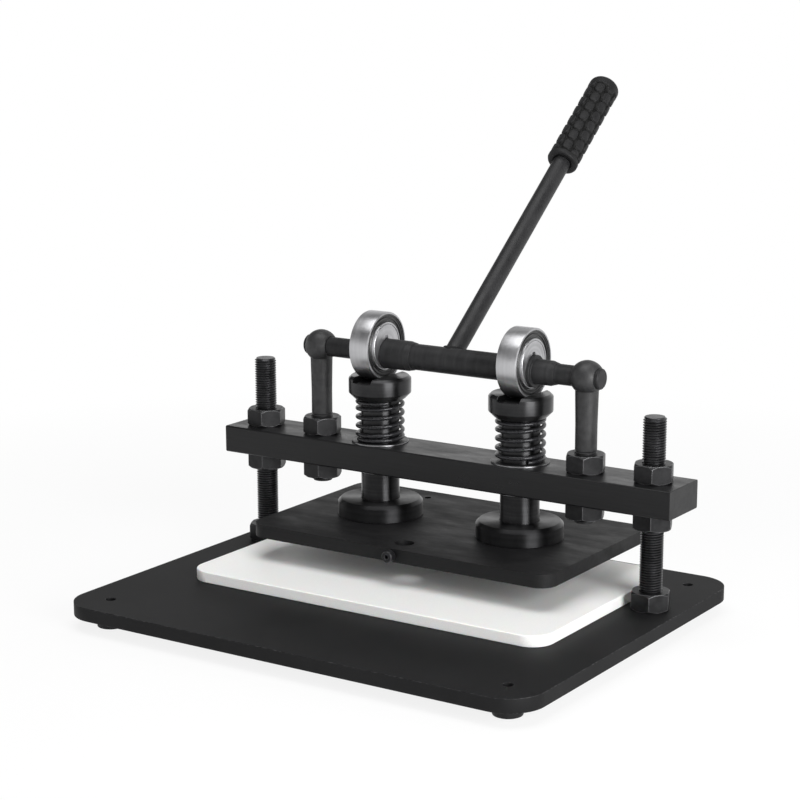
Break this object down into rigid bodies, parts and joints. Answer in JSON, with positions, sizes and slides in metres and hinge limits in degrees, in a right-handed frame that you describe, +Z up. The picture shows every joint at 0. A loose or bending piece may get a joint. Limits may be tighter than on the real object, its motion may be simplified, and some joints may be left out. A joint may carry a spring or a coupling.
{
  "type": "hand lever embossing press",
  "caption": "Bench press for embossing and cutting leather: a hand lever turns a cam shaft whose ball bearings push sprung posts and a steel plate down on a cutting board.",
  "frame": {"origin": "centre of the four bench holes, on the bench, under the rubber feet", "axes": "+X along the beam to the viewer's right, +Y to the machine's back, +Z up"},
  "size_m": [0.465, 0.555, 0.4533],
  "materials": {
    "black_paint": "satin",
    "black_oxide": "satin",
    "bare_steel": "satin",
    "bearing_steel": "polished",
    "cage_brass": "satin",
    "seal_rubber": "matte",
    "foot_rubber": "matte",
    "white_nylon": "matte",
    "grip_rubber": "matte",
    "spring_steel": "satin"
  },
  "bodies": {
    "base": {"base_plate": "black_paint", "rubber_feet": "foot_rubber", "column_left": "black_oxide", "column_right": "black_oxide", "base_nuts": "black_oxide"},
    "board": {"cutting_board": "white_nylon"},
    "beam": {"beam": "black_paint", "column_nuts": "black_oxide", "guide_bush_left": "bare_steel", "guide_bush_right": "bare_steel", "eye_bolt_left": "black_oxide", "eye_bolt_right": "black_oxide", "eye_bolt_nuts": "black_oxide", "spring_left": "spring_steel", "spring_right": "spring_steel"},
    "shaft": {"cam_shaft": "black_oxide", "cam_left": "bare_steel", "cam_right": "bare_steel", "cam_key_left": "bare_steel", "cam_key_right": "bare_steel", "collar_left": "black_oxide", "collar_right": "black_oxide", "inner_ring_left": "bearing_steel", "inner_ring_right": "bearing_steel", "lever_rod": "black_oxide", "lever_weld": "black_paint", "lever_grip": "grip_rubber"},
    "roller_left": {"outer_ring_left": "bearing_steel", "bearing_seals_left": "seal_rubber"},
    "roller_right": {"outer_ring_right": "bearing_steel", "bearing_seals_right": "seal_rubber"},
    "balls_left": {"bearing_balls_left": "bearing_steel", "ball_cage_left": "cage_brass"},
    "balls_right": {"bearing_balls_right": "bearing_steel", "ball_cage_right": "cage_brass"},
    "press": {"press_plate": "black_paint", "flange_screws": "black_oxide", "post_flange_left": "black_paint", "post_flange_right": "black_paint", "post_left": "bare_steel", "post_right": "bare_steel", "post_cap_left": "black_oxide", "post_cap_right": "black_oxide"},
    "clamp": {"clamp_screw": "black_oxide"}
  },
  "joints": [
    {"name": "beam_height", "type": "slide", "parent": "base", "child": "beam", "axis": [0, 0, 1], "range_m": [-0.01, 0.035]},
    {"name": "board_slide", "type": "slide", "parent": "base", "child": "board", "axis": [0, -1, 0], "range_m": [-0.03, 0.115]},
    {"name": "lever_turn", "type": "hinge", "parent": "beam", "child": "shaft", "pos_m": [0, 0.076, 0.218], "axis": [1, 0, 0], "range_deg": [0, 120]},
    {"name": "press_slide", "type": "slide", "parent": "beam", "child": "press", "axis": [0, 0, -1], "range_m": [0, 0.00976], "stiffness_N_per_m": 12000, "springref_m": -0.012, "deforming": ["spring_left", "spring_right"]},
    {"name": "roller_left_turn", "type": "hinge", "parent": "shaft", "child": "roller_left", "pos_m": [-0.0765, 0.076, 0.2245], "axis": [1, 0, 0], "continuous": true},
    {"name": "roller_right_turn", "type": "hinge", "parent": "shaft", "child": "roller_right", "pos_m": [0.0765, 0.076, 0.2245], "axis": [1, 0, 0], "continuous": true},
    {"name": "balls_left_turn", "type": "hinge", "parent": "shaft", "child": "balls_left", "pos_m": [-0.0765, 0.076, 0.2245], "axis": [1, 0, 0], "continuous": true},
    {"name": "balls_right_turn", "type": "hinge", "parent": "shaft", "child": "balls_right", "pos_m": [0.0765, 0.076, 0.2245], "axis": [1, 0, 0], "continuous": true},
    {"name": "clamp_travel", "type": "slide", "parent": "press", "child": "clamp", "axis": [0, -1, 0], "range_m": [-0.001, 0.006]}
  ],
  "couplings": [
    {"joint": "press_slide", "follows": "lever_turn", "m_per_rad": 0.0046553},
    {"joint": "balls_left_turn", "follows": "roller_left_turn", "ratio": 0.57843},
    {"joint": "balls_right_turn", "follows": "roller_right_turn", "ratio": 0.57843}
  ]
}
